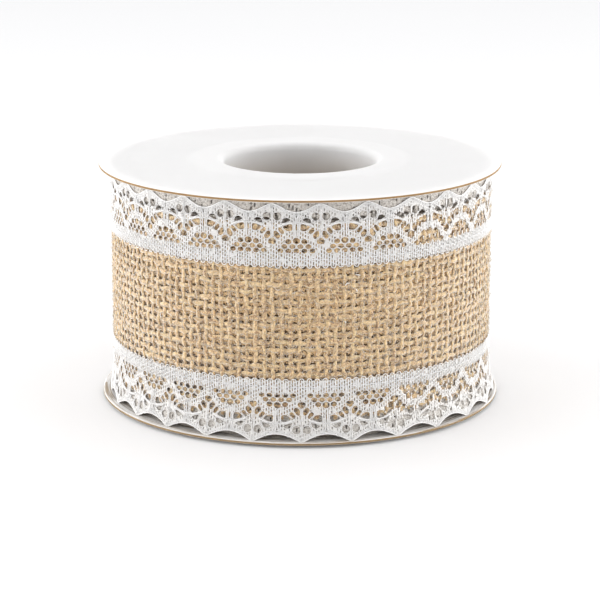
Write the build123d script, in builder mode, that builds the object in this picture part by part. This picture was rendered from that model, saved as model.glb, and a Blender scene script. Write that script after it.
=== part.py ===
from build123d import *
import os
from math import cos, pi, radians, sin

# Table runner of open jute burlap with a knitted lace along both long edges, wound
# on a flanged ribbon spool.  Millimetres.  +Z is the spool's axis, the origin is the
# middle of the face that the spool stands on, -Y is the side that faces forward, and
# the runner's free end lies on the far side of the roll.

# ---- spool: two moulded flanges pressed into the ends of a board tube ----
FLANGE_DIAMETER = 102.0
FLANGE_THICKNESS = 0.7
SPOOL_HEIGHT = 60.6
BOSS_HEIGHT = 0.3
BOSS_DIAMETER = 54.8  # at the middle of the slope round the boss
BOSS_SLOPE = 3.0  # radial width of that slope
BORE_DIAMETER = 38.8
MOUTH_RADIUS = 1.8  # rounding where the bore meets the boss face
SPIGOT_WALL = 0.75
SPIGOT_LENGTH = 14.0
RIM_ROUNDING = 0.2
SPIGOT_CLEARANCE = 0.05
TUBE_WALL = 1.1

# ---- runner: burlap, with a lace lying over each of its edges ----
BURLAP_THICKNESS = 0.82
LACE_THICKNESS = 0.18
SEAM_THICKNESS = 0.10
LAYER_GAP = 0.02  # between burlap, lace and seam
TURN_GAP = 0.03  # between one turn and the next
HALF_TURNS = 45  # odd: the winding starts at -X and its last half turn ends at +X
START_RADIUS = 21.495  # inner face of the burlap where the winding starts

BURLAP_LOW = 6.72
BURLAP_HIGH = 54.07
LOWER_LACE_LOW = 1.20
LOWER_LACE_HIGH = 15.80
UPPER_LACE_LOW = 43.95
UPPER_LACE_HIGH = 59.05
SEAM_INSET = 1.6  # from a lace's inner edge to the middle of its seam
SEAM_HEIGHT = 0.9

# ---- free end, its holding tape, and the tape under the first turn ----
FREE_END_SWEEP = 60.0  # degrees of the outermost turn that peel off the roll
FREE_END_LIFT = 0.12  # the free end lies this much looser than the wound turns
CREASE_GAP = 0.10  # between the last wound turn and the free end, along the runner
TAPE_THICKNESS = 0.08
TAPE_WIDTH = 12.0
TAPE_ON_END = 10.0  # degrees of tape on the free end
TAPE_STEP = 4.5  # degrees in which the tape steps down to the turn beneath
TAPE_ON_ROLL = 9.0  # degrees of tape on that turn
TAPE_OVERHANG = 0.5  # degrees past the cut edge before the step starts
TAPE_LIFT = 0.04  # of the tape above the burlap of the free end
TAPE_CLEARANCE = 0.15  # of the tape above the turn beneath
STARTER_THICKNESS = 0.12
STARTER_SWEEP = 25.0
STARTER_MARGIN = 5.0  # the starter tape stops this far inside the burlap's edges

# ---- derived ----
FLANGE_RADIUS = FLANGE_DIAMETER / 2
BORE_RADIUS = BORE_DIAMETER / 2
SPIGOT_RADIUS = BORE_RADIUS + SPIGOT_WALL
TUBE_BORE_RADIUS = SPIGOT_RADIUS + SPIGOT_CLEARANCE
TUBE_RADIUS = TUBE_BORE_RADIUS + TUBE_WALL
INNER_FACE = BOSS_HEIGHT + FLANGE_THICKNESS  # of the lower flange
LACE_OFFSET = BURLAP_THICKNESS + LAYER_GAP  # from the burlap's inner face
SEAM_OFFSET = LACE_OFFSET + LACE_THICKNESS + LAYER_GAP
PITCH = SEAM_OFFSET + SEAM_THICKNESS + TURN_GAP
MID_HEIGHT = SPOOL_HEIGHT / 2


def half_turn(number, offset, first=0.0, sweep=180.0):
    """One half turn of the winding, as an arc seen from above.

    Even half turns run round the front and odd ones round the back.  Their centres
    lie a quarter pitch to either side of the axis, so each arc is tangent to the
    next and the winding grows by half a pitch in each.
    """
    front = number % 2 == 0
    centre = (PITCH / 4 if front else -PITCH / 4, 0)
    radius = START_RADIUS + (number / 2 + 0.25) * PITCH + offset
    return CenterArc(centre, radius, (180 if front else 0) + first, sweep)


def close_ends(inner, outer):
    """Straight cuts that join an inner and an outer row of arcs into one outline."""
    Line(inner[0] @ 0, outer[0] @ 0)
    Line(inner[-1] @ 1, outer[-1] @ 1)


def wound_outline(offset, thickness):
    """Outline of a layer over every wound half turn."""
    inner = [half_turn(number, offset) for number in range(HALF_TURNS)]
    outer = [half_turn(number, offset + thickness) for number in range(HALF_TURNS)]
    close_ends(inner, outer)


def free_outline(offset, thickness):
    """Outline of the same layer on the free end."""
    crease = CREASE_GAP / (pi * FLANGE_RADIUS) * 180
    sweep = FREE_END_SWEEP - crease
    rise = offset + FREE_END_LIFT
    inner = [half_turn(HALF_TURNS, rise, crease, sweep)]
    outer = [half_turn(HALF_TURNS, rise + thickness, crease, sweep)]
    close_ends(inner, outer)


def tape_edge(rise):
    """One face of the holding tape: along the free end, down the step, along the roll."""
    step_start = FREE_END_SWEEP + TAPE_OVERHANG
    first = step_start - TAPE_ON_END
    on_end = half_turn(HALF_TURNS, FREE_END_LIFT + TAPE_LIFT + rise, first, TAPE_ON_END)
    on_roll = half_turn(
        HALF_TURNS - 2, TAPE_CLEARANCE + rise, step_start + TAPE_STEP, TAPE_ON_ROLL
    )
    Line(on_end @ 1, on_roll @ 0)
    return [on_end, on_roll]


def tape_outline():
    """Outline of the holding tape, between its two faces."""
    close_ends(tape_edge(BURLAP_THICKNESS), tape_edge(BURLAP_THICKNESS + TAPE_THICKNESS))


def write_layer(label, draw_outline, low, high):
    """Solid of constant outline between two heights, written as one piece."""
    with BuildPart() as layer:
        with BuildSketch(Plane.XY.offset(low)):
            with BuildLine():
                draw_outline()
            make_face()
        extrude(amount=high - low)
    layer.part.label = label
    export_step(layer.part, f"parts/{label}.step")


os.makedirs("parts", exist_ok=True)

# ---- lower flange: thin disc, low boss round the bore, short spigot into the tube ----
with BuildPart() as lower_flange:
    with BuildSketch(Plane.XZ):
        with BuildLine():
            slope_end = (BOSS_DIAMETER + BOSS_SLOPE) / 2
            slope_start = (BOSS_DIAMETER - BOSS_SLOPE) / 2
            slope_mid = BOSS_DIAMETER / 2
            Polyline(
                (BORE_RADIUS, MOUTH_RADIUS),
                (BORE_RADIUS, INNER_FACE + SPIGOT_LENGTH),
                (SPIGOT_RADIUS, INNER_FACE + SPIGOT_LENGTH),
                (SPIGOT_RADIUS, INNER_FACE),
                (FLANGE_RADIUS, INNER_FACE),
                (FLANGE_RADIUS, BOSS_HEIGHT),
                (slope_end, BOSS_HEIGHT),
            )
            Bezier((slope_end, BOSS_HEIGHT), (slope_mid, BOSS_HEIGHT), (slope_mid, 0), (slope_start, 0))
            Line((slope_start, 0), (BORE_RADIUS + MOUTH_RADIUS, 0))
            CenterArc((BORE_RADIUS + MOUTH_RADIUS, MOUTH_RADIUS), MOUTH_RADIUS, 180, 90)
        make_face()
    revolve(axis=Axis.Z)
    rim = lower_flange.edges().filter_by(GeomType.CIRCLE).group_by(SortBy.RADIUS)[-1]
    fillet(rim, RIM_ROUNDING)
lower_flange.part.label = "lower_flange"
export_step(lower_flange.part, "parts/lower_flange.step")

# ---- upper flange: the same moulding, the other way up ----
with BuildPart() as upper_flange:
    add(lower_flange.part)
    mirror(about=Plane.XY.offset(MID_HEIGHT), mode=Mode.REPLACE)
upper_flange.part.label = "upper_flange"
export_step(upper_flange.part, "parts/upper_flange.step")

# ---- core tube: wound board, butted between the flanges' inner faces ----
with BuildPart() as core_tube:
    with BuildSketch(Plane.XY.offset(INNER_FACE)):
        Circle(TUBE_RADIUS)
        Circle(TUBE_BORE_RADIUS, mode=Mode.SUBTRACT)
    extrude(amount=SPOOL_HEIGHT - 2 * INNER_FACE)
core_tube.part.label = "core_tube"
export_step(core_tube.part, "parts/core_tube.step")

# ---- starter tape: double-sided, between the tube and the first turn ----
with BuildPart() as starter_tape:
    with BuildSketch(Plane.XY.offset(BURLAP_LOW + STARTER_MARGIN)):
        with BuildLine():
            on_tube = CenterArc((0, 0), TUBE_RADIUS, 180, STARTER_SWEEP)
            on_burlap = CenterArc((0, 0), TUBE_RADIUS + STARTER_THICKNESS, 180, STARTER_SWEEP)
            close_ends([on_tube], [on_burlap])
        make_face()
    extrude(amount=BURLAP_HIGH - BURLAP_LOW - 2 * STARTER_MARGIN)
starter_tape.part.label = "starter_tape"
export_step(starter_tape.part, "parts/starter_tape.step")

# ---- runner: every layer once as wound turns and once as the free end ----
lower_seam = LOWER_LACE_HIGH - SEAM_INSET
upper_seam = UPPER_LACE_LOW + SEAM_INSET
LAYERS = {
    "burlap": (0, BURLAP_THICKNESS, BURLAP_LOW, BURLAP_HIGH),
    "lower_lace": (LACE_OFFSET, LACE_THICKNESS, LOWER_LACE_LOW, LOWER_LACE_HIGH),
    "upper_lace": (LACE_OFFSET, LACE_THICKNESS, UPPER_LACE_LOW, UPPER_LACE_HIGH),
    "lower_seam": (
        SEAM_OFFSET, SEAM_THICKNESS, lower_seam - SEAM_HEIGHT / 2, lower_seam + SEAM_HEIGHT / 2
    ),
    "upper_seam": (
        SEAM_OFFSET, SEAM_THICKNESS, upper_seam - SEAM_HEIGHT / 2, upper_seam + SEAM_HEIGHT / 2
    ),
}
for layer_name, (layer_offset, layer_thickness, layer_low, layer_high) in LAYERS.items():
    write_layer(
        f"{layer_name}_roll",
        lambda: wound_outline(layer_offset, layer_thickness),
        layer_low,
        layer_high,
    )
    write_layer(
        f"{layer_name}_free_end",
        lambda: free_outline(layer_offset, layer_thickness),
        layer_low,
        layer_high,
    )

# ---- holding tape: clear, over the cut edge of the free end ----
write_layer("holding_tape", tape_outline, MID_HEIGHT - TAPE_WIDTH / 2, MID_HEIGHT + TAPE_WIDTH / 2)

# The length of burlap in the winding and the free end, along the middle of its thickness.
middle_radii = [
    START_RADIUS + (number / 2 + 0.25) * PITCH + BURLAP_THICKNESS / 2
    for number in range(HALF_TURNS + 1)
]
runner_length = pi * sum(middle_radii[:-1]) + radians(FREE_END_SWEEP) * middle_radii[-1]
pivot = START_RADIUS + HALF_TURNS / 2 * PITCH + FREE_END_LIFT + SEAM_OFFSET + SEAM_THICKNESS
print(f"runner length {runner_length:.0f} mm, pitch {PITCH:.3f} mm, peel pivot at x {pivot:.3f} mm")
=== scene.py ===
import math

import bpy
import numpy as np
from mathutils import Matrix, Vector


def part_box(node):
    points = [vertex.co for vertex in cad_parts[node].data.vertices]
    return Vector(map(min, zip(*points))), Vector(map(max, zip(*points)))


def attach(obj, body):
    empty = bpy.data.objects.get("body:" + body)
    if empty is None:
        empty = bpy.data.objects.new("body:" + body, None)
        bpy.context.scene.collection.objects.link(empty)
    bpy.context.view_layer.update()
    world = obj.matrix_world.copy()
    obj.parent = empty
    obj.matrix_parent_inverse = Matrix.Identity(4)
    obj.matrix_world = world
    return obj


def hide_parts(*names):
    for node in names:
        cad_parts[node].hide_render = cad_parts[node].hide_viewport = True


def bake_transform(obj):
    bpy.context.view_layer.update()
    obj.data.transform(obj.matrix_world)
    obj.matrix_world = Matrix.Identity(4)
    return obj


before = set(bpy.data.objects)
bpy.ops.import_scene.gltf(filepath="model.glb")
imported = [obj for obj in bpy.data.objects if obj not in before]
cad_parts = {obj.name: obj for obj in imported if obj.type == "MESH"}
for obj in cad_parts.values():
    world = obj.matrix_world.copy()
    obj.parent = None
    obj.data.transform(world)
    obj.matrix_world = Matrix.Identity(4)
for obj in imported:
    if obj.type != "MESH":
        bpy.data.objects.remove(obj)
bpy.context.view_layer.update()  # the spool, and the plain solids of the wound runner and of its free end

# A narrow table runner of open jute burlap with a knitted lace along both edges, wound
# on a white flanged spool.  Everything below is worked out in millimetres and radians
# and turned to metres as a mesh is made.

MM = 0.001
rng = np.random.default_rng(5)


def corners(node_name):
    """Lowest and highest corner of a node of the frame, in millimetres."""
    low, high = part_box(node_name)
    return np.array(low) / MM, np.array(high) / MM


# ---- the winding, read off the frame ----
ROLL_LOW, ROLL_HIGH = corners("burlap_roll")
BURLAP_WIDE = ROLL_HIGH[2] - ROLL_LOW[2]
BURLAP_THICK = 0.82  # two yarns, one over the other
PITCH = 2 * (ROLL_HIGH[0] + ROLL_LOW[0])  # from one turn to the next
END_RADIUS = ROLL_HIGH[0] - BURLAP_THICK  # the burlap's inner face at the crease
LACE_THICK = 0.18
LACE_RISE = corners("upper_lace_roll")[1][0] - END_RADIUS - LACE_THICK
FREE_LIFT = 0.12  # the free end lies this much looser,
LIFT_ANGLE = math.radians(8)  # once past this angle from the crease
CREASE = 0.0  # angle at which the free end starts, at +X
FREE_ANGLE = math.atan2(corners("burlap_free_end")[1][1], corners("burlap_free_end")[0][0])
TURN = 2 * math.pi
OUTER_RADIUS = END_RADIUS - PITCH / 4 + BURLAP_THICK / 2  # mean, of the outermost turn
WOUND_TURNS = 22.5
RIM_HEIGHT = 0.62  # of the middle of the lower flange's edge
SPOOL_MIDDLE = (corners("lower_flange")[0][2] + corners("upper_flange")[1][2]) / 2

# ---- burlap: plain weave, thread spacings of a light jute cloth ----
END_SPACING = 2.13  # between the yarns that run up and down
PICK_COUNT = 24  # yarns that run round the roll
YARN_WIDE = 0.50  # half widths
PICK_WIDE = 0.57
YARN_DEEP = 0.18
YARN_RISE = BURLAP_THICK / 2 + 0.12  # of the yarns' middles, from the cloth's inner face
CRIMP = 0.11  # how far a yarn swings to either side of that
YARN_STATIONS = 5  # of a yarn, from one crossing to the next
WORKED_DOWN = 0.5  # how far the lower edge has slipped on the roll
FRONT_FIBRES, BACK_FIBRES, FREE_FIBRES = 8800, 6500, 1300  # loose hairs on each stretch
LINT_FIBRES = 170  # shed by the laces
STRIP_STATIONS = 1900  # along the turns beneath

# ---- lace: heights are measured from its sewn edge out to the scallops ----
UPPER_REPEAT = 11.35
LOWER_REPEAT = 11.55
LACE_WIDE = 15.0
SCALLOP_DEPTH = 2.05
HANGS_FREE = 4.0  # past this far from its sewn edge the lace can stand off the burlap
NET_CELL = 0.31  # half a wale of the knitted ground
UNDER_CELL = 0.45  # the same, on the turn beneath
UNDER_SHIFT = 0.42  # share of a repeat by which that turn is out of step
SNAP = 0.55  # share of a cell within which a point is moved onto a rim
GROUND_THICK = 0.10
WALE_RISE = LACE_RISE + 0.13  # the threads' middles
RIM_RISE = LACE_RISE + 0.14
CORD_RISE = LACE_RISE + 0.15
SEAM_OUT = 1.6  # how far the seam lies from the sewn edge
STITCH_PITCH = 2.4


def winding(angle, rise, height):
    """Points of the winding, in millimetres.

    Each half turn is a semicircle whose centre lies a quarter pitch to one side of
    the axis, so that it meets the next one tangentially and half a pitch further
    out.  angle runs along the runner and is 0 at the crease, rise is counted
    outwards from the burlap's inner face, and height from the base.
    """
    half = np.floor(angle / math.pi + 1e-9)
    lift = FREE_LIFT * smooth_step(angle / LIFT_ANGLE)
    radius = END_RADIUS + (half / 2 + 0.25) * PITCH + rise + lift
    centre = np.where(half % 2 == 0, -PITCH / 4, PITCH / 4)
    across = centre + radius * np.cos(angle)
    return np.stack(np.broadcast_arrays(across, radius * np.sin(angle), height), -1)


def outward(angle, points):
    """Unit vectors away from the axis, one for each point."""
    flat = np.stack(np.broadcast_arrays(np.cos(angle), np.sin(angle), 0 * angle), -1)
    return np.broadcast_to(flat, points.shape)


def unit(vectors):
    return vectors / np.maximum(np.linalg.norm(vectors, axis=-1, keepdims=True), 1e-12)


def smooth_step(value):
    value = np.clip(value, 0, 1)
    return value * value * (3 - 2 * value)


def wander(count, along, wavelengths, scale):
    """Smooth random curves: one row for each thread, the sum of sines of random phase."""
    phase = rng.uniform(0, TURN, (len(wavelengths), count, 1))
    waves = [np.sin(TURN * along / w + p) for w, p in zip(wavelengths, phase)]
    return scale * sum(waves) / math.sqrt(len(wavelengths))


def tubes(centres, out, wide, deep, sides, closed=False):
    """Threads of elliptical section along many paths at once.

    centres is (threads, stations, 3).  A ring stands square to the path at each
    station: its point at angle t is centre + wide cos t across + deep sin t outward.
    Returns the points, the quads and a length/turn pair for each quad corner.
    """
    threads, stations = centres.shape[:2]
    if closed:
        tangent = unit(np.roll(centres, -1, 1) - np.roll(centres, 1, 1))
    else:
        tangent = unit(np.gradient(centres, axis=1))
    across = unit(np.cross(tangent, out))
    away = np.cross(across, tangent)
    turn = TURN * np.arange(sides) / sides - math.pi / 2
    wide = np.broadcast_to(wide, (threads, stations))[..., None, None]
    deep = np.broadcast_to(deep, (threads, stations))[..., None, None]
    ring = wide * np.cos(turn)[:, None] * across[:, :, None]
    ring = ring + deep * np.sin(turn)[:, None] * away[:, :, None]
    points = (centres[:, :, None] + ring).reshape(-1, 3)

    index = np.arange(len(points)).reshape(threads, stations, sides)
    here = index if closed else index[:, :-1]
    there = np.roll(index, -1, 1) if closed else index[:, 1:]
    quads = np.stack([here, there, np.roll(there, -1, 2), np.roll(here, -1, 2)], -1)
    step = np.linalg.norm(np.diff(centres, axis=1, append=centres[:, :1]), axis=-1)
    if not closed:
        step = step[:, :-1]
    end = np.cumsum(step, 1) + rng.uniform(0, 500, (threads, 1))
    start = end - step
    around = np.arange(sides) / sides
    length = np.stack([start, end, end, start], -1)[:, :, None]
    length = np.broadcast_to(length, quads.shape)
    around = np.stack([around, around, around + 1 / sides, around + 1 / sides], -1)
    coordinates = np.stack([length, np.broadcast_to(around, quads.shape)], -1)
    quads, coordinates = quads.reshape(-1, 4), coordinates.reshape(-1, 4, 2)
    if not closed:
        fans = [[0, k, k + 1, k + 2] for k in range(1, sides - 2, 2)]
        first = index[:, 0][:, np.array(fans)].reshape(-1, 4)
        last = index[:, -1][:, np.array(fans)[:, ::-1]].reshape(-1, 4)
        quads = np.concatenate([quads, first, last])
        coordinates = np.concatenate([coordinates, np.zeros((len(first) + len(last), 4, 2))])
    return points, quads, coordinates


def slab(front, back, keep):
    """Closed sheet between two grids of points, over the cells that keep marks.

    Each kept cell has a face on both sides, and a wall wherever its neighbour is
    left out, so holes and edges are closed.
    """
    rows, columns = keep.shape
    index = np.arange((rows + 1) * (columns + 1)).reshape(rows + 1, columns + 1)
    under = index + index.size
    ringed = np.pad(keep, 1)

    def wall(mask, start, end):
        i, j = np.nonzero(mask)
        a = (i + start[0], j + start[1])
        b = (i + end[0], j + end[1])
        return np.stack([index[a], index[b], under[b], under[a]], -1)

    i, j = np.nonzero(keep)
    top = np.stack([index[i, j], index[i + 1, j], index[i + 1, j + 1], index[i, j + 1]], -1)
    quads = np.concatenate([
        top,
        top[:, ::-1] + index.size,
        wall(keep & ~ringed[:-2, 1:-1], (0, 0), (0, 1)),
        wall(keep & ~ringed[1:-1, :-2], (1, 0), (0, 0)),
        wall(keep & ~ringed[2:, 1:-1], (1, 1), (1, 0)),
        wall(keep & ~ringed[1:-1, 2:], (0, 1), (1, 1)),
    ])
    points = np.concatenate([front.reshape(-1, 3), back.reshape(-1, 3)])
    used, quads = np.unique(quads, return_inverse=True)
    return points[used], quads.reshape(-1, 4), used % index.size


def join(parts):
    """One set of points, quads and coordinates from several."""
    starts = np.cumsum([0] + [len(points) for points, _, _ in parts[:-1]])
    return (
        np.concatenate([points for points, _, _ in parts]),
        np.concatenate([quads + start for (_, quads, _), start in zip(parts, starts)]),
        np.concatenate([coordinates for _, _, coordinates in parts]),
    )


def piece(name, shape, material):
    """A mesh object from points in millimetres, quads, and a coordinate for each corner."""
    points, quads, coordinates = shape
    mesh = bpy.data.meshes.new(name)
    mesh.vertices.add(len(points))
    mesh.vertices.foreach_set("co", (points * MM).astype(np.float32).ravel())
    mesh.loops.add(quads.size)
    mesh.loops.foreach_set("vertex_index", quads.astype(np.int32).ravel())
    mesh.polygons.add(len(quads))
    mesh.polygons.foreach_set("loop_start", np.arange(0, quads.size, 4, dtype=np.int32))
    mesh.polygons.foreach_set("use_smooth", np.ones(len(quads), bool))
    layer = mesh.uv_layers.new(name="thread")
    layer.data.foreach_set("uv", coordinates.astype(np.float32).ravel())
    mesh.update(calc_edges=True)
    mesh.materials.append(material)
    made = bpy.data.objects.new(name, mesh)
    bpy.context.scene.collection.objects.link(made)
    return made


# ---------------------------------------------------------------- materials


def linear(code):
    """Linear colour of an sRGB hex value."""
    value = np.array([int(code[i:i + 2], 16) for i in (1, 3, 5)]) / 255
    value = np.where(value <= 0.04045, value / 12.92, ((value + 0.055) / 1.055) ** 2.4)
    return (*value.tolist(), 1.0)


def wire(tree, made, links):
    """Sets a node's sockets, each to a value or to the output that feeds it."""
    for socket, source in dict(links).items():
        if isinstance(source, bpy.types.NodeSocket):
            tree.links.new(source, made.inputs[socket])
        else:
            made.inputs[socket].default_value = source


def node(tree, kind, links=(), **settings):
    """Adds a node: settings are its own properties, links its sockets' values or sources."""
    made = tree.nodes.new(kind)
    for name, value in settings.items():
        setattr(made, name, value)
    wire(tree, made, links)
    return made


def new_material(name):
    """An empty material with its principled shader."""
    made = bpy.data.materials.new(name)
    made.use_nodes = True
    return made, made.node_tree, made.node_tree.nodes["Principled BSDF"]


def jute_yarn(name, dark, light):
    """Jute, spun and loosely twisted: matt, hairy, straw to tan, streaked along the twist.

    The yarn turns once in about 5 mm, its bundles of fibre are a third of its girth,
    and finer flecks of bast, 0.3 mm across, lie over them.
    """
    made, tree, shader = new_material(name)
    uv = node(tree, "ShaderNodeUVMap", uv_map="thread").outputs["UV"]
    streak_at = node(tree, "ShaderNodeMapping", {"Vector": uv, "Scale": (0.9, 3.5, 1.0),
                                                 "Rotation": (0, 0, 0.2)})
    streak = node(tree, "ShaderNodeTexNoise", {"Vector": streak_at.outputs[0], "Scale": 1.0,
                                               "Detail": 4.0, "Roughness": 0.65})
    place = node(tree, "ShaderNodeTexCoord").outputs["Object"]
    fleck = node(tree, "ShaderNodeTexNoise", {"Vector": place, "Scale": 2600.0, "Detail": 2.0,
                                              "Roughness": 0.7})
    both = node(tree, "ShaderNodeMath", {0: streak.outputs["Fac"], 1: fleck.outputs["Fac"]},
                operation="ADD")
    spread = node(tree, "ShaderNodeMapRange", {"Value": both.outputs[0], "From Min": 0.80,
                                               "From Max": 1.18})
    tone = node(tree, "ShaderNodeMix", {0: spread.outputs[0], 6: linear(dark), 7: linear(light)},
                data_type="RGBA")
    slow_at = node(tree, "ShaderNodeMapping", {"Vector": uv, "Scale": (0.12, 0.4, 1.0)})
    slow = node(tree, "ShaderNodeTexNoise", {"Vector": slow_at.outputs[0], "Scale": 1.0, "Detail": 2.0})
    pale = node(tree, "ShaderNodeMapRange", {"Value": slow.outputs["Fac"], "From Min": 0.4,
                                             "From Max": 0.75, "To Max": 0.6})
    mixed = node(tree, "ShaderNodeMix", {0: pale.outputs[0], 6: tone.outputs[2],
                                         7: linear("#DCBF95")}, data_type="RGBA")
    bump = node(tree, "ShaderNodeBump", {"Height": both.outputs[0], "Strength": 1.0,
                                         "Distance": 0.11 * MM})
    wire(tree, shader, {
        "Base Color": mixed.outputs[2],
        "Normal": bump.outputs[0],
        "Roughness": 0.85,
        "Subsurface Weight": 0.7,  # light comes through the loose fibres
        "Subsurface Radius": (1.0, 0.85, 0.6),
        "Subsurface Scale": 1.0 * MM,
        "Sheen Weight": 1.0,
        "Sheen Roughness": 0.5,
    })
    return made


def jute_cloth():
    """The same jute as woven cloth, for turns that only show through gaps, with painted shade in its holes.
    """
    made, tree, shader = new_material("woven_jute_cloth")
    uv = node(tree, "ShaderNodeUVMap", uv_map="thread").outputs["UV"]
    split = node(tree, "ShaderNodeSeparateXYZ", {"Vector": uv})
    waves = []
    for axis, spacing in (("X", END_SPACING), ("Y", BURLAP_WIDE / PICK_COUNT)):
        scaled = node(tree, "ShaderNodeMath", {0: split.outputs[axis], 1: TURN / spacing},
                      operation="MULTIPLY")
        waves.append(node(tree, "ShaderNodeMath", {0: scaled.outputs[0]}, operation="COSINE").outputs[0])
    over = node(tree, "ShaderNodeMath", {0: waves[0], 1: waves[1]}, operation="MAXIMUM")
    grain = node(tree, "ShaderNodeTexNoise", {"Vector": uv, "Scale": 2.3, "Detail": 2.0,
                                              "Roughness": 0.6})
    soft = node(tree, "ShaderNodeMath", {0: over.outputs[0], 1: 0.12}, operation="MULTIPLY")
    rough = node(tree, "ShaderNodeMath", {0: soft.outputs[0], 1: grain.outputs["Fac"]}, operation="ADD")
    spread = node(tree, "ShaderNodeMapRange", {"Value": rough.outputs[0], "From Min": 0.46,
                                               "From Max": 0.56})
    # painted shade: the weave's holes are drawn dark brown, for the turns further in
    tone = node(tree, "ShaderNodeMix", {0: spread.outputs[0], 6: linear("#4C3820"),
                                        7: linear("#D6B487")}, data_type="RGBA")
    bump = node(tree, "ShaderNodeBump", {"Height": rough.outputs[0], "Strength": 1.0,
                                         "Distance": 0.2 * MM})
    wire(tree, shader, {
        "Base Color": tone.outputs[2],
        "Normal": bump.outputs[0],
        "Roughness": 0.9,
        "Sheen Weight": 1.0,  # hairy, so it pales at a slant
        "Sheen Roughness": 0.4,
    })
    return made


def lace_thread(name, low, high, gaps=0.0, grain=(1.8, 2.6), shade="#6E6154"):
    """Textured polyester thread, white: soft gloss, with the knit's loops as fine bumps.

    gaps is how strongly darker specks and streaks of painted shade show, where the knit opens onto shade,
    and grain is how many of them there are in a millimetre, along and across.
    """
    made, tree, shader = new_material(name)
    uv = node(tree, "ShaderNodeUVMap", uv_map="thread").outputs["UV"]
    loops_at = node(tree, "ShaderNodeMapping", {"Vector": uv, "Scale": (2.2, 2.2, 1.0)})
    loops = node(tree, "ShaderNodeTexNoise", {"Vector": loops_at.outputs[0], "Scale": 1.0, "Detail": 3.0})
    spread = node(tree, "ShaderNodeMapRange", {"Value": loops.outputs["Fac"], "From Min": 0.35,
                                               "From Max": 0.65})
    tone = node(tree, "ShaderNodeMix", {0: spread.outputs[0], 6: linear(low), 7: linear(high)},
                data_type="RGBA")
    # painted shade: darker specks and streaks, as strong as gaps
    if gaps:
        shade_speck_at = node(tree, "ShaderNodeMapping", {"Vector": uv, "Scale": (*grain, 1.0)})
        crushed = node(tree, "ShaderNodeTexNoise", {"Vector": shade_speck_at.outputs[0], "Scale": 1.0,
                                                    "Detail": 3.0})
        speck = node(tree, "ShaderNodeMapRange", {"Value": crushed.outputs["Fac"], "From Min": 0.50,
                                                  "From Max": 0.60, "To Max": gaps})
        tone = node(tree, "ShaderNodeMix", {0: speck.outputs[0], 6: tone.outputs[2],
                                            7: linear(shade)}, data_type="RGBA")
    bump = node(tree, "ShaderNodeBump", {"Height": loops.outputs["Fac"], "Strength": 0.5,
                                         "Distance": 0.05 * MM})
    wire(tree, shader, {
        "Base Color": tone.outputs[2],
        "Normal": bump.outputs[0],
        "Roughness": 0.55,
        "Sheen Weight": 0.15,
        "Subsurface Weight": 0.6,  # light comes through the thin thread
        "Subsurface Radius": (1.0, 1.0, 1.0),
        "Subsurface Scale": 0.9 * MM,
    })
    return made


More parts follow.
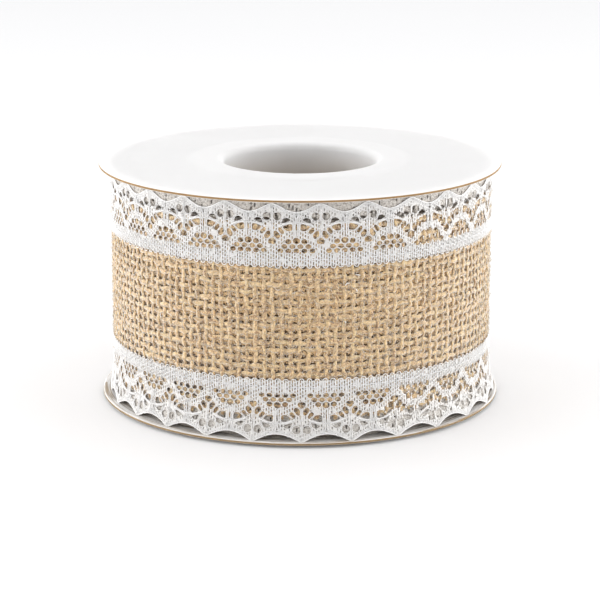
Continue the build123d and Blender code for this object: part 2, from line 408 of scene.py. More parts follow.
def moulded_polystyrene(name, low, high, rim, rim_height, reflected_rings):
    """White high-impact polystyrene, 0.7 mm thick: matt and faintly uneven, with painted shade along its
    rim.

    rim is the colour of a dark tan line of painted shade along the rim's edge, at rim_height, and the last
    argument is how strongly fine rings show: painted reflections of the wound runner in the flange.
    Inside the bore the colour darkens towards the middle of its depth: painted shade.
    """
    made, tree, shader = new_material(name)
    place = node(tree, "ShaderNodeTexCoord").outputs["Object"]
    cloud = node(tree, "ShaderNodeTexNoise", {"Vector": place, "Scale": 60.0, "Detail": 3.0})
    tone = node(tree, "ShaderNodeMix", {0: cloud.outputs["Fac"], 6: linear(low), 7: linear(high)},
                data_type="RGBA")
    split = node(tree, "ShaderNodeSeparateXYZ", {"Vector": place})
    flat = node(tree, "ShaderNodeCombineXYZ", {0: split.outputs["X"], 1: split.outputs["Y"]})
    radius = node(tree, "ShaderNodeVectorMath", {0: flat.outputs[0]}, operation="LENGTH").outputs["Value"]

    def away_from(height):
        """Distance up or down from a height in millimetres."""
        above = node(tree, "ShaderNodeMath", {0: split.outputs["Z"], 1: height * MM},
                     operation="SUBTRACT")
        return node(tree, "ShaderNodeMath", {0: above.outputs[0]}, operation="ABSOLUTE").outputs[0]

    def band(tone, value, start, end, strength, code):
        """The tone, mixed towards a colour as value goes from start to end, in millimetres."""
        share = node(tree, "ShaderNodeMapRange", {"Value": value, "From Min": start * MM,
                                                  "From Max": end * MM, "To Max": strength})
        return node(tree, "ShaderNodeMix", {0: share.outputs[0], 6: tone.outputs[2], 7: linear(code)},
                    data_type="RGBA")

    # painted reflections: fine brownish rings, where the wound runner would be mirrored in the flange
    if reflected_rings:
        around = node(tree, "ShaderNodeMath", {0: split.outputs["Y"], 1: split.outputs["X"]},
                      operation="ARCTAN2")
        ring_at = node(tree, "ShaderNodeCombineXYZ", {0: radius, 1: around.outputs[0]})
        ring_scaled = node(tree, "ShaderNodeMapping", {"Vector": ring_at.outputs[0],
                                                       "Scale": (1800, 2.5, 1)})
        rings = node(tree, "ShaderNodeTexNoise", {"Vector": ring_scaled.outputs[0], "Scale": 1.0,
                                                  "Detail": 3.0})
        ring_reflection = node(tree, "ShaderNodeMapRange", {"Value": rings.outputs["Fac"], "From Min": 0.48,
                                                 "From Max": 0.62, "To Max": reflected_rings})
        tone = node(tree, "ShaderNodeMix", {0: ring_reflection.outputs[0], 6: tone.outputs[2],
                                            7: linear("#86755F")}, data_type="RGBA")
    # painted shade: a dark tan line round the rim's edge, at rim_height
    core = node(tree, "ShaderNodeMapRange", {"Value": away_from(rim_height), "From Min": 0.22 * MM,
                                             "From Max": 0.32 * MM, "To Min": 1.0, "To Max": 0.0})
    tone = band(tone, radius, 50.90, 50.96, core.outputs[0], rim)
    # painted shade: inside the bore the colour darkens towards the middle of its depth
    bore_shade_depth = node(tree, "ShaderNodeMapRange", {"Value": away_from(SPOOL_MIDDLE), "From Min": 18 * MM,
                                                "From Max": 28.5 * MM, "To Min": 1.0, "To Max": 0.0})
    inside = node(tree, "ShaderNodeMapRange", {"Value": radius, "From Min": 19.5 * MM,
                                               "From Max": 20.5 * MM, "To Min": 1.0, "To Max": 0.0})
    deep = node(tree, "ShaderNodeMath", {0: bore_shade_depth.outputs[0], 1: inside.outputs[0]}, operation="MULTIPLY")
    tone = node(tree, "ShaderNodeMix", {0: deep.outputs[0], 6: tone.outputs[2], 7: linear("#BDB0A2")},
                data_type="RGBA")
    grain = node(tree, "ShaderNodeTexNoise", {"Vector": place, "Scale": 1500.0, "Detail": 2.0})
    bump = node(tree, "ShaderNodeBump", {"Height": grain.outputs["Fac"], "Strength": 0.15,
                                         "Distance": 0.03 * MM})
    gloss = node(tree, "ShaderNodeMapRange", {"Value": cloud.outputs["Fac"], "To Min": 0.62,
                                              "To Max": 0.76})
    wire(tree, shader, {
        "Base Color": tone.outputs[2],
        "Roughness": gloss.outputs[0],
        "Normal": bump.outputs[0],
        "IOR": 1.59,
        "Specular IOR Level": 0.12,  # the mould's etched face dulls it
        "Subsurface Weight": 1.0,  # thin, so light comes through
        "Subsurface Radius": (1.0, 1.0, 1.0),
        "Subsurface Scale": 2.5 * MM,
    })
    return made


def lined_board():
    """White-lined wound board: matt paper with faint fibres, drawn grey as painted shade for the bore."""
    made, tree, shader = new_material("white_lined_board")
    place = node(tree, "ShaderNodeTexCoord").outputs["Object"]
    fibre = node(tree, "ShaderNodeTexNoise", {"Vector": place, "Scale": 700.0, "Detail": 4.0})
    # painted shade: the board is drawn grey, darker than white board, for the shade inside the bore
    tone = node(tree, "ShaderNodeMix", {0: fibre.outputs["Fac"], 6: linear("#A9A49C"),
                                        7: linear("#C9C5BE")}, data_type="RGBA")
    bump = node(tree, "ShaderNodeBump", {"Height": fibre.outputs["Fac"], "Strength": 0.4,
                                         "Distance": 0.05 * MM})
    wire(tree, shader, {
        "Base Color": tone.outputs[2],
        "Normal": bump.outputs[0],
        "Roughness": 0.85,
    })
    return made


def tissue_tape():
    """Double-sided tissue tape: cream, dull, mottled by its adhesive."""
    made, tree, shader = new_material("double_sided_tissue_tape")
    place = node(tree, "ShaderNodeTexCoord").outputs["Object"]
    mottle = node(tree, "ShaderNodeTexNoise", {"Vector": place, "Scale": 900.0, "Detail": 3.0})
    tone = node(tree, "ShaderNodeMix", {0: mottle.outputs["Fac"], 6: linear("#DDD6C2"),
                                        7: linear("#F0EBDC")}, data_type="RGBA")
    wire(tree, shader, {
        "Base Color": tone.outputs[2],
        "Roughness": 0.6,
    })
    return made


def polypropylene_tape():
    """Clear polypropylene tape: a glossy film that shows what it holds, milky in places."""
    made, tree, shader = new_material("clear_polypropylene_tape")
    place = node(tree, "ShaderNodeTexCoord").outputs["Object"]
    haze = node(tree, "ShaderNodeTexNoise", {"Vector": place, "Scale": 300.0, "Detail": 3.0})
    see = node(tree, "ShaderNodeMapRange", {"Value": haze.outputs["Fac"], "From Min": 0.35,
                                            "From Max": 0.7, "To Min": 0.16, "To Max": 0.34})
    wire(tree, shader, {
        "Alpha": see.outputs[0],
        "Base Color": linear("#F4F3EE"),
        "Roughness": 0.12,
        "IOR": 1.49,
    })
    return made


# ---------------------------------------------------------------- burlap


END_STEP = END_SPACING / OUTER_RADIUS  # angle between neighbouring upright yarns
BURLAP_LOW = ROLL_LOW[2] - WORKED_DOWN
PICK_STEP = (ROLL_HIGH[2] - BURLAP_LOW) / PICK_COUNT


def upright_yarns(first, last):
    """Upright yarns between two angles.

    The yarn's rise swings by a cosine with one half period between neighbouring
    picks, and the swing's sign alternates from yarn to yarn: a plain weave.
    """
    number = np.arange(math.ceil(first / END_STEP - 0.5), math.floor(last / END_STEP - 0.5) + 1)
    stations = YARN_STATIONS * PICK_COUNT + 1
    count = len(number)
    low_end = -0.5 - 0.3 * rng.random((count, 1))  # cut ends, a little uneven
    high_end = PICK_COUNT - 0.5 + 0.12 * rng.random((count, 1))
    pick = low_end + (high_end - low_end) * np.linspace(0, 1, stations)
    sideways = wander(count, pick, (1.1, 2.3, 5.3, 19.0), 0.10)
    angle = (number[:, None] + 0.5 + sideways) * END_STEP
    swing = np.cos(math.pi * (pick + number[:, None]))
    rise = YARN_RISE + CRIMP * swing + wander(count, pick, (5.0, 11.0), 0.02)
    height = BURLAP_LOW + (pick + 0.5) * PICK_STEP
    centres = winding(angle, rise, np.broadcast_to(height, angle.shape))
    fullness = 1 + wander(count, pick, (0.61, 1.7, 4.1, 9.7), 0.20) + wander(count, pick, (1e6,), 0.1)
    fullness = fullness * (1 + 0.12 * swing)
    return tubes(centres, outward(angle, centres), YARN_WIDE * fullness, YARN_DEEP * fullness, 6)


def round_yarns(first, last, fray=0.0):
    """Yarns that run round the roll between two angles, woven against the upright ones."""
    first_station = math.ceil(first / END_STEP * YARN_STATIONS)
    last_station = math.floor(last / END_STEP * YARN_STATIONS)
    column = np.arange(first_station, last_station + 1)[None] / YARN_STATIONS - 0.5
    number = np.arange(PICK_COUNT)[:, None]
    slope = wander(PICK_COUNT, column, (1.3, 2.9, 6.3, 17.0, 41.0), 0.15)
    swing = np.cos(math.pi * (column + number))
    rise = YARN_RISE - CRIMP * 0.85 * swing + wander(PICK_COUNT, column, (6.0, 13.0), 0.02)
    angle = np.broadcast_to((column + 0.5) * END_STEP, rise.shape)
    if fray:
        stretch = rng.uniform(0, fray, (PICK_COUNT, 1)) * smooth_step((column - column.max() + 3) / 3)
        angle = angle + stretch / OUTER_RADIUS
    height = BURLAP_LOW + (number + 0.5 + slope) * PICK_STEP
    centres = winding(angle, rise, height)
    fullness = (1 + wander(PICK_COUNT, column, (0.67, 1.9, 4.7, 10.3, 37.0), 0.22)) * (1 - 0.12 * swing)
    return tubes(centres, outward(angle, centres), PICK_WIDE * fullness, YARN_DEEP * 0.92 * fullness, 6)


def loose_fibres(first, last, count, thick=0.06):
    """Hairs of the yarns: short arcs that lie across the cloth and its gaps.

    Each turns by a random bend along its length; most lie within the cloth's
    thickness, and the rest stand up to 0.4 mm off it.
    """
    start = rng.uniform(first, last, (count, 1))
    height = rng.uniform(ROLL_LOW[2] + 0.6, ROLL_HIGH[2] - 0.6, (count, 1))
    heading = rng.uniform(0, TURN, (count, 1))
    length = rng.uniform(0.5, 2.0, (count, 1))
    bend = rng.normal(0, 1.3, (count, 1))
    along = np.linspace(0, 1, 3)[None]
    turned = heading + bend * along
    x = np.cumsum(np.cos(turned), 1) / 3 * length
    y = np.cumsum(np.sin(turned), 1) / 3 * length
    base = rng.uniform(BURLAP_THICK * 0.3, BURLAP_THICK + 0.02, (count, 1))
    rise = base + rng.uniform(0.0, 0.45, (count, 1)) * np.sin(math.pi * along * 0.8)
    angle = start + x / OUTER_RADIUS
    centres = winding(angle, rise, height + y)
    thick = thick * (1 - 0.4 * along) * rng.uniform(0.5, 1.5, (count, 1))
    return tubes(centres, outward(angle, centres), thick, thick, 4)


def wound_strip(first, last, low, high, rise, thick, stations):
    """Closed strip of cloth wound at a steady rise between two angles."""
    angle = np.linspace(first, last, stations)[:, None]
    height = np.stack(np.broadcast_arrays(low, high), -1)
    height = np.broadcast_to(height, (stations, 2))
    front = winding(angle + 0 * height, rise + thick, height)
    back = winding(angle + 0 * height, rise, height)
    points, quads, source = slab(front, back, np.ones((stations - 1, 1), bool))
    flat = np.stack([(angle + 0 * height) * OUTER_RADIUS, height - ROLL_LOW[2]], -1).reshape(-1, 2)
    return points, quads, flat[source][quads]


# ---------------------------------------------------------------- lace


def mirrored(corners_of_hole):
    """The same opening on the other side of the fan's middle."""
    return [(-across, out) for across, out in reversed(corners_of_hole)]


def hole_list(repeat):
    """Openings of one repeat, each as its corners (across, out), clockwise.

    across is counted from the fan's middle, out from the sewn edge.  The honeycomb
    and the bars belong to the joint between two fans, half a repeat away.
    """
    joint = repeat / 2
    petal = [(0.24, 12.7), (1.70, 13.05), (2.32, 12.2), (1.96, 11.2), (1.22, 10.85), (0.30, 11.4)]
    under_edge = [(1.80, 10.3), (2.55, 11.5), (3.5, 11.75), (4.45, 11.1), (3.2, 10.45)]
    trapezoid = [(2.35, 9.5), (3.8, 10.15), (joint - 0.95, 10.2), (joint - 0.92, 8.55),
                 (3.5, 8.4), (2.75, 8.9)]
    slanted = [(1.42, 9.25), (1.92, 9.42), (2.95, 8.3), (2.80, 7.8), (2.26, 7.65), (1.42, 8.6)]
    teardrop = [(0.36, 8.5), (1.04, 8.6), (1.98, 7.4), (1.80, 6.7), (1.22, 6.5), (0.36, 7.25)]
    holes = []
    for corners_of_hole in (petal, under_edge, trapezoid, slanted, teardrop):
        holes += [corners_of_hole, mirrored(corners_of_hole)]
    holes.append([(0, 7.0), (1.0, 6.25), (0.92, 5.4), (0, 5.2), (-0.92, 5.4), (-1.0, 6.25)])
    holes.append([(joint - 0.36, 12.7), (joint + 0.36, 12.7), (joint, 11.4)])
    holes.append([(joint - 0.13, 10.1), (joint + 0.13, 10.1), (joint + 0.13, 8.5), (joint - 0.13, 8.5)])
    holes.append([(-0.11, 10.9), (0.11, 10.9), (0.11, 10.0), (-0.11, 10.0)])
    rows = ((3, 1.87, 5.93, 0.76, 0.66), (4, 1.87, 4.76, 0.76, 0.60), (5, 1.87, 3.68, 0.74, 0.62))
    for count, spacing, out, wide, tall in rows:
        for place in range(count):
            middle = joint + (place - (count - 1) / 2) * spacing
            grow = 1.2 if count == 3 and place == 1 else 1.0
            top = out + 0.18 * (grow > 1)
            turns = np.radians(90 - 60 * np.arange(6))
            holes.append([(middle + wide * grow * 1.1 * np.cos(t), top + tall * grow * 1.1 * np.sin(t))
                          for t in turns])
    return holes


class Opening:
    """A rounded polygon.

    Its measure at a point is the sixth-power mean of the point's distances towards
    the sides, each over that side's own distance from the middle: 1 on the rim.
    """

    def __init__(self, corners_of_hole):
        points = np.array(corners_of_hole)
        self.middle = points.mean(0)
        side = np.roll(points, -1, 0) - points
        self.facing = unit(np.stack([-side[:, 1], side[:, 0]], -1))
        self.reach = ((points - self.middle) * self.facing).sum(1) + 0.07  # drawn open a little
        self.span = np.ptp(points, axis=0)

    def measure(self, x, y):
        toward = x[..., None] * self.facing[:, 0] + y[..., None] * self.facing[:, 1]
        return (np.maximum(toward / self.reach, 0) ** 6).sum(-1) ** (1 / 6)

    def rim(self, steps, margin):
        """Points round the rim, moved out by margin."""
        turn = TURN * np.arange(steps) / steps
        x, y = np.cos(turn) * self.span[0], np.sin(turn) * self.span[1]
        scale = 1 / self.measure(x, y)
        x, y = x * scale, y * scale
        grow = 1 + margin / np.hypot(x, y)
        return self.middle[0] + x * grow, self.middle[1] + y * grow


class Lace:
    """One of the two laces: where its sewn edge lies, which way it faces, its repeat."""

    def __init__(self, name, repeat, sharpness, shift):
        low, high = corners(f"{name}_roll")
        self.name, self.repeat, self.sharpness, self.shift = name, repeat, sharpness, shift
        self.up = 1 if name.startswith("upper") else -1
        self.edge = low[2] if self.up > 0 else high[2]

    def place(self, length, out, rise, turn_back=0):
        """Points from length along the runner and distance out from the sewn edge.

        A share that grows as the 1.8th power of the distance past HANGS_FREE sets how
        far the lace stands off: the lower one in a skirt, most at the front by a cosine
        of the angle, and both with a waver of two sines from scallop to scallop.
        turn_back is how many turns further in the points lie.
        """
        angle = length / OUTER_RADIUS
        beyond = np.clip((out - HANGS_FREE) / (LACE_WIDE - HANGS_FREE), 0, 1.05) ** 1.8
        waver = 0.10 * np.sin(length * 0.37 + 1.0) + 0.08 * np.sin(length * 0.83 + 4.0)
        if self.up > 0:
            stand = waver * beyond
        else:
            stand = (1.05 + 0.7 * np.cos(angle + math.pi / 2) + 0.3 * np.cos(angle) + waver) * beyond
        if turn_back:  # close behind, once past the burlap's edge
            stand = 0.85 * (stand - waver * beyond) + 0.9 * smooth_step((out - 9.9) / 1.5)
        return winding(angle - TURN * turn_back, rise + stand, self.edge + self.up * out)

    def across(self, length):
        """Distance along the runner from the middle of the nearest fan."""
        return (length - self.shift + self.repeat / 2) % self.repeat - self.repeat / 2

    def scallop(self, across, turn_back=0):
        """How far out the scalloped edge lies: furthest at the fan, nearest at the joint.

        It goes by a power of a half sine over the repeat.  The upper lace's turns
        beneath are crushed up against the flange, so theirs is shallower and lies
        further out.
        """
        swing = np.abs(np.sin(math.pi * across / self.repeat)) ** self.sharpness
        if turn_back and self.up > 0:
            return LACE_WIDE + 0.62 - 0.45 * swing
        return LACE_WIDE - SCALLOP_DEPTH * swing


def lace_net(lace, first, last, cell, turn_back=0, inner=0.0, pinholes=0.85):
    """The knitted ground: a grid of cells, left out inside the openings and past the edge.

    Grid points near an opening's rim or the scalloped edge are moved onto it, and
    in every other column, between the wales, cells are left out at random as pinholes.
    """
    number = np.arange(math.ceil(first / cell), math.floor(last / cell) + 1)
    length = (number - 0.26 * (number % 2)) * cell
    length[0], length[-1] = first, last
    out = np.arange(inner, LACE_WIDE + 0.7 * turn_back + cell, cell * 1.02)
    along, far = np.meshgrid(length, out, indexing="ij")
    crumpled = turn_back and lace.up < 0  # the lower lace's skirt, whose openings have closed up
    shift = UNDER_SHIFT * lace.repeat if turn_back and not crumpled else 0.0
    across = lace.across(along + shift)
    edge = lace.scallop(across, turn_back)
    middle = [0.25 * (g[:-1, :-1] + g[1:, :-1] + g[:-1, 1:] + g[1:, 1:]) for g in (along, far)]
    mid_across = lace.across(middle[0] + shift)
    keep = middle[1] < lace.scallop(mid_across, turn_back)
    moved_u, moved_v = along.copy(), far.copy()
    half = lace.repeat / 2
    for opening in map(Opening, [] if crumpled else hole_list(lace.repeat)):
        dx = (across - opening.middle[0] + half) % lace.repeat - half
        dy = far - opening.middle[1]
        rim = opening.measure(dx, dy)
        reach = (rim - 1) * opening.span.min() / 2
        near = (np.abs(reach) < cell * SNAP) & (rim > 0.2)
        moved_u = np.where(near, along - dx + dx / rim, moved_u)
        moved_v = np.where(near, far - dy + dy / rim, moved_v)
        mid_dx = (mid_across - opening.middle[0] + half) % lace.repeat - half
        keep &= opening.measure(mid_dx, middle[1] - opening.middle[1]) > 1
    near = np.abs(far - edge) < cell * SNAP
    moved_v = np.where(near, edge, moved_v)
    moved_u[0], moved_u[-1] = along[0], along[-1]
    between_wales = number[:-1, None] % 2 == 0
    row = np.arange(keep.shape[1])[None] + number[:-1, None] // 2 % 3
    chance = np.take_along_axis(rng.random((len(number) - 1, keep.shape[1] // 3 + 2)), row // 3, 1)
    thin = 1 + 0.35 * np.sin(middle[0] * 1.9 + 3 * np.sin(middle[0] * 0.31)) * np.cos(middle[1] * 1.3)
    keep &= ~(between_wales & (chance < pinholes * thin) & (row % 3 > 0))
    proud = rng.normal(0, 0.015, along.shape)
    if turn_back == 0:
        moved_u = moved_u + rng.normal(0, 0.012, along.shape)
    front = lace.place(moved_u, moved_v, LACE_RISE + GROUND_THICK + proud, turn_back)
    back = lace.place(moved_u, moved_v, LACE_RISE + 0 * proud, turn_back)
    if lace.up < 0:
        front, back = back, front
    points, quads, source = slab(front, back, keep)
    flat = np.stack([along, far], -1).reshape(-1, 2)
    return points, quads, flat[source][quads]


def rim_threads(lace, first, last):
    """Thread round each opening that isn't a slit: its rim curve, as a closed tube."""
    parts = []
    repeats = np.arange(math.floor(first / lace.repeat) - 1, math.ceil(last / lace.repeat) + 2)
    for opening in map(Opening, hole_list(lace.repeat)):
        if opening.span.min() < 0.5:
            continue
        u, v = opening.rim(18 if opening.span.max() > 1.7 else 14, 0.01)
        centre = repeats[:, None] * lace.repeat + lace.shift
        whole = (centre[:, 0] + u.min() > first) & (centre[:, 0] + u.max() < last)
        length = centre[whole] + u
        centres = lace.place(length, np.broadcast_to(v, length.shape), RIM_RISE)
        normals = outward(length / OUTER_RADIUS, centres)
        parts.append(tubes(centres, normals, 0.085, 0.08, 4, closed=True))
    return join(parts)


def cord_lines(lace, first, last):
    """The heavier lines: the scalloped edge, the arches, the fan's middle and the bars."""
    parts = []
    cell = lace.repeat / 24
    length = np.arange(first, last + cell / 2, cell)[None]
    length[0, -1] = last
    across = lace.across(length)
    edge = lace.scallop(across)
    joint = lace.repeat / 2
    lines = [(edge - 0.02, 0.17, 0.14), (edge - 0.40, 0.10, 0.10), (edge - 0.72, 0.08, 0.09)]
    for out, wide, deep in lines:
        centres = lace.place(length, out, CORD_RISE)
        parts.append(tubes(centres, outward(length / OUTER_RADIUS, centres), wide, deep, 6))
    # an arch springs from each fan's heart and crests at the joint
    repeats = np.arange(math.floor(first / lace.repeat) - 1, math.ceil(last / lace.repeat) + 2)
    t = np.linspace(-1, 1, 19)
    reach = joint - 1.55
    arch_u = joint + reach * t
    arch_v = 10.5 - 0.95 * np.abs(t) ** 2.2
    straight = [(arch_u, arch_v, 0.17, 0.15)]
    for side in (-1, 1):  # paired bars at the joint, which part again at the edge
        v = np.linspace(7.2, 12.95, 12)
        near, far = smooth_step((v - 9.6) / 1.4), smooth_step((v - 11.1) / 1.8)
        straight.append((joint + side * (0.30 - 0.15 * near + 0.55 * far), v, 0.11, 0.11))
        straight.append((joint + side * (0.78 - 0.12 * near + 0.65 * far), v, 0.10, 0.11))
    for off in (-0.17, 0.17):  # the fan's double middle line
        v = np.linspace(7.0, 14.4, 10)
        straight.append((off + 0 * v, v, 0.10, 0.10))
    for side in (-1, 1):  # the fan's outer spokes and its lobes' borders
        v = np.linspace(10.2, 13.7, 8)
        straight.append((side * (2.02 + 0.33 * (v - 10.2)), v, 0.09, 0.10))
        v = np.linspace(9.6, 12.3, 8)
        straight.append((side * (joint - 0.9 + 0.1 * (v - 9.6)), v, 0.09, 0.09))
    for u, v, wide, deep in straight:
        centre = repeats * lace.repeat + lace.shift
        whole = (centre + u.min() > first) & (centre + u.max() < last)
        length = centre[whole][:, None] + u[None]
        centres = lace.place(length, np.broadcast_to(v, length.shape), CORD_RISE)
        parts.append(tubes(centres, outward(length / OUTER_RADIUS, centres), wide, deep, 4))
    return join(parts)


def heading_wales(lace, first, last):
    """Chains of the heading, three wales to a lobe.

    The outer two are the legs of a hairpin that turns in a half circle at the lace's
    edge, and the third stands between them.
    """
    wale = 2 * NET_CELL
    number = np.arange(math.ceil(first / wale / 3) + 1, math.floor(last / wale / 3))
    middle = ((3 * number + 1) * wale + 1.37 * NET_CELL)[:, None]
    count = len(number)
    leg = np.linspace(1, 0, 5)
    loop = np.linspace(0, math.pi, 7)[1:-1]
    sides = np.concatenate([-np.ones(5), -np.cos(loop), np.ones(5)])[None]
    legs = np.concatenate([leg, 0 * loop, leg[::-1]])[None]
    round_end = np.concatenate([0 * leg, np.sin(loop), 0 * leg])[None]
    reach = 3.2 + rng.uniform(-0.5, 0.5, (count, 1))
    tall = rng.uniform(0.25, 0.55, (count, 1))
    hairpins = middle + sides * 0.88 * wale + rng.normal(0, 0.02, (count, sides.size))
    centre = np.linspace(0, 1, 6)[None]
    parts = []
    for length, out in ((hairpins, legs * reach - tall * round_end),
                        (middle + 0 * centre, centre * reach - 0.1)):
        centres = lace.place(length, out, WALE_RISE)
        parts.append(tubes(centres, outward(length / OUTER_RADIUS, centres), 0.12, 0.09, 4))
    return join(parts)


def stitches(lace, first, last):
    """Lockstitch that sews the lace down: short dashes that dip between stitches."""
    start = np.arange(first + STITCH_PITCH, last - STITCH_PITCH, STITCH_PITCH)[:, None]
    along = np.linspace(0, 1, 6)[None]
    length = start + along * STITCH_PITCH * 0.86
    rise = LACE_RISE + 0.08 + 0.16 * np.sin(math.pi * along)
    centres = lace.place(length, SEAM_OUT + 0 * length, rise + 0 * length)
    return tubes(centres, outward(length / OUTER_RADIUS, centres), 0.11, 0.09, 4)


def inner_turns(lace, turns):
    """The lace of the turns beneath, as one closed scalloped strip wound with them.

    It leans out as the square of the distance past HANGS_FREE, and its edge goes by a
    half sine over a repeat that drifts against the turns above.
    """
    stations_per_repeat = 8
    first = -TURN * turns * OUTER_RADIUS
    length = np.arange(first, -TURN * 2 * OUTER_RADIUS, lace.repeat / stations_per_repeat)
    along, part = np.meshgrid(length, np.linspace(0, 1, 3), indexing="ij")
    swing = np.abs(np.sin(math.pi * lace.across(along * 0.97) / lace.repeat))
    reach = LACE_WIDE + (0.55 if lace.up > 0 else 0.1)
    far = part * (reach - 0.5 * swing - 0.15 * rng.random((len(length), 1)))
    angle = along / OUTER_RADIUS
    lean = LACE_RISE + 0.9 * np.clip((far - HANGS_FREE) / (LACE_WIDE - HANGS_FREE), 0, 1) ** 2
    front = winding(angle, lean + LACE_THICK, lace.edge + lace.up * far)
    back = winding(angle, lean, lace.edge + lace.up * far)
    if lace.up < 0:
        front, back = back, front
    points, quads, source = slab(front, back, np.ones((len(length) - 1, 2), bool))
    flat = np.stack([along, far], -1).reshape(-1, 2)
    return points, quads, flat[source][quads]


# ---------------------------------------------------------------- camera and lights


FOCAL_LENGTH = 136.8  # mm, on a sensor 36 mm wide
CAMERA_PLACE = (0, -0.5694, 0.1721)
CAMERA_TARGET = (0, 0, 0.02306)
LIGHT_TARGET = (0, 0, 0.03)
FLOOR_REACH = 3.0
FLOOR_DROP = 0.4  # the thin flange is never quite flat, so the floor lies this far below it


def look_at(place, target):
    """Rotation that points an object's -Z from place to target, with +Y upwards."""
    return (Vector(target) - Vector(place)).to_track_quat("-Z", "Y").to_euler()


def set_camera():
    """Long lens a little above the flange, square on to the middle of the front."""
    lens = bpy.data.cameras.new("camera")
    lens.lens = FOCAL_LENGTH
    lens.sensor_width = 36
    lens.clip_start = 0.01
    camera = bpy.data.objects.new("camera", lens)
    camera.location = CAMERA_PLACE
    camera.rotation_euler = look_at(camera.location, CAMERA_TARGET)
    bpy.context.scene.collection.objects.link(camera)
    bpy.context.scene.camera = camera


def area_light(name, place, size, power):
    """A soft box that faces the middle of the object."""
    data = bpy.data.lights.new(name, "AREA")
    data.shape = "RECTANGLE"
    data.size, data.size_y = size
    data.energy = power
    made = bpy.data.objects.new(name, data)
    made.location = place
    made.rotation_euler = look_at(place, LIGHT_TARGET)
    bpy.context.scene.collection.objects.link(made)


def set_studio():
    """Pale floor, pale surroundings, soft light from all sides and overhead."""
    bpy.context.scene.view_settings.view_transform = "Standard"
    world = bpy.data.worlds.new("surroundings")
    bpy.context.scene.world = world
    world.use_nodes = True
    world.node_tree.nodes["Background"].inputs["Color"].default_value = (1, 1, 1, 1)
    world.node_tree.nodes["Background"].inputs["Strength"].default_value = 0.87
    area_light("left_soft_box", (-0.6, -0.08, 0.17), (0.9, 0.32), 3.6)
    area_light("right_soft_box", (0.6, -0.08, 0.17), (0.9, 0.32), 3.3)
    area_light("overhead_panel", (0, 0, 2.5), (4.0, 4.0), 8.9)
    area_light("front_panel", (0, -1.6, 0.45), (1.4, 0.8), 0.6)
    area_light("rear_panel", (0, 1.3, 1.6), (3.0, 1.4), 8.5)
    floor_mesh = bpy.data.meshes.new("floor")
    corner = [(-1, -1), (1, -1), (1, 1), (-1, 1)]
    low = [(x * FLOOR_REACH, y * FLOOR_REACH, -FLOOR_DROP * MM) for x, y in corner]
    floor_mesh.from_pydata(low, [], [(0, 1, 2, 3)])
    floor = bpy.data.objects.new("floor", floor_mesh)
    bpy.context.scene.collection.objects.link(floor)
    made, tree, shader = new_material("pale_studio_floor")
    wire(tree, shader, {
        "Base Color": linear("#E6E6E7"),
        "Roughness": 0.9,
    })
    floor_mesh.materials.append(made)


# ---------------------------------------------------------------- build

set_camera()
set_studio()

YARN = jute_yarn("spun_jute_yarn", "#74553A", "#E7C698")
FIBRE = jute_yarn("loose_jute_fibre", "#4A341D", "#F6E4C8")
CLOTH = jute_cloth()
NET = lace_thread("knitted_polyester_ground", "#E2DFDB", "#EFEDEA")
CORD = lace_thread("polyester_outline_thread", "#EBE9E7", "#F4F3F2")
# the turns beneath are the same white polyester as the lace above, drawn grey with darker specks and brown
# streaks: all painted shade
UNDER = lace_thread("knitted_polyester_turn_beneath", "#C0B7AC", "#DCD6CF", 0.6)
SKIRT = lace_thread("knitted_polyester_skirt_beneath", "#C3BCB4", "#DCD7D0", 0.55)
TURNS_IN_SHADE = lace_thread("crushed_polyester_turns", "#A99F94", "#CBC4BC", 0.9, (0.12, 2.4), "#57452F")

node_finish = {
    # the lower flange is drawn greyer than the upper one: painted shade, where the upper flange and the
    # laces shade it
    "lower_flange": moulded_polystyrene(
        "rubbed_white_polystyrene", "#C9C6C3", "#D6D4D2",
        rim="#857053", rim_height=RIM_HEIGHT, reflected_rings=0.85,
    ),
    "upper_flange": moulded_polystyrene(
        "moulded_white_polystyrene", "#D3D2D2", "#D9D8D8",
        rim="#846A48", rim_height=2 * SPOOL_MIDDLE - RIM_HEIGHT, reflected_rings=0.0,
    ),
    "core_tube": lined_board(),
    "starter_tape": tissue_tape(),
    "holding_tape": polypropylene_tape(),
}
for node_name, finish in node_finish.items():
    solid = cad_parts[node_name]
    for slot in solid.material_slots:
        slot.material = finish


def wound(made):
    """The piece, riding on the spool."""
    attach(made, "spool")
    return made


def free(made):
    """The piece, with its placement baked into its points."""
    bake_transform(made)
    return made


# burlap
FRONT, BACK = -math.pi, -TURN
burlap_pieces = [
    wound(piece("burlap_upright_front", upright_yarns(FRONT, CREASE), YARN)),
    wound(piece("burlap_upright_back", upright_yarns(BACK, FRONT), YARN)),
    wound(piece("burlap_round_front", round_yarns(FRONT, CREASE), YARN)),
    wound(piece("burlap_round_back", round_yarns(BACK, FRONT), YARN)),
    wound(piece("burlap_fibres_front", loose_fibres(FRONT, CREASE, FRONT_FIBRES), FIBRE)),
    wound(piece("burlap_fibres_back", loose_fibres(BACK, FRONT, BACK_FIBRES), FIBRE)),
]
lint = loose_fibres(BACK, CREASE, LINT_FIBRES, thick=0.11)
burlap_pieces.append(wound(piece("burlap_lace_lint", lint, CORD)))
burlap_turns = wound(piece(
    "burlap_turns",
    wound_strip(-TURN * WOUND_TURNS, BACK, ROLL_LOW[2], ROLL_HIGH[2],
                rise=0.40, thick=0.99, stations=STRIP_STATIONS),
    CLOTH,
))
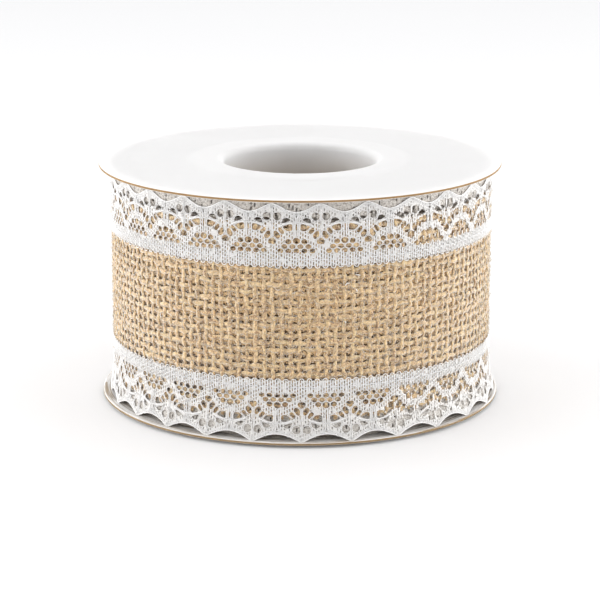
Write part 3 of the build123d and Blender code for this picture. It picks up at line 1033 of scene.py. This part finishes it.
free_burlap = [
    free(piece("burlap_free_upright", upright_yarns(CREASE, FREE_ANGLE), YARN)),
    free(piece("burlap_free_round", round_yarns(CREASE, FREE_ANGLE, fray=1.2), YARN)),
    free(piece("burlap_free_fibres", loose_fibres(0.02, FREE_ANGLE, FREE_FIBRES), FIBRE)),
]
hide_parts("burlap_roll")
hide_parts("burlap_free_end")

# laces
FRONT_MIDDLE = -math.pi / 2 * OUTER_RADIUS
LACES = (
    Lace("upper_lace", UPPER_REPEAT, sharpness=1.5, shift=FRONT_MIDDLE + 4.55),
    Lace("lower_lace", LOWER_REPEAT, sharpness=0.95, shift=FRONT_MIDDLE + 0.1),
)
START = BACK * OUTER_RADIUS
FREE_END = FREE_ANGLE * OUTER_RADIUS
for lace in LACES:
    name = lace.name
    beneath = UNDER if lace.up > 0 else SKIRT
    seam = name.replace("lace", "seam")
    parts = [
        wound(piece(f"{name}_ground", lace_net(lace, START, 0.0, NET_CELL), NET)),
        wound(piece(f"{name}_rims", rim_threads(lace, START, 0.0), CORD)),
        wound(piece(f"{name}_cords", cord_lines(lace, START, 0.0), CORD)),
        wound(piece(f"{name}_wales", heading_wales(lace, START, 0.0), CORD)),
        wound(piece(
            f"{name}_under",
            lace_net(lace, START, 0.0, UNDER_CELL, turn_back=1, inner=8.0, pinholes=0.25),
            beneath,
        )),
        wound(piece(f"{seam}_stitches", stitches(lace, START, 0.0), CORD)),
    ]
    loose = [
        free(piece(f"{name}_free_ground", lace_net(lace, 0.0, FREE_END, NET_CELL), NET)),
        free(piece(f"{name}_free_rims", rim_threads(lace, 0.0, FREE_END), CORD)),
        free(piece(f"{name}_free_cords", cord_lines(lace, 0.0, FREE_END), CORD)),
        free(piece(f"{name}_free_wales", heading_wales(lace, 0.0, FREE_END), CORD)),
        free(piece(f"{seam}_free_stitches", stitches(lace, 0.0, FREE_END), CORD)),
    ]
    turns = wound(piece(f"{name}_turns", inner_turns(lace, WOUND_TURNS), TURNS_IN_SHADE))
    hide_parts(f"{name}_roll")
    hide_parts(f"{name}_free_end")
    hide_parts(f"{seam}_roll")
    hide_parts(f"{seam}_free_end")
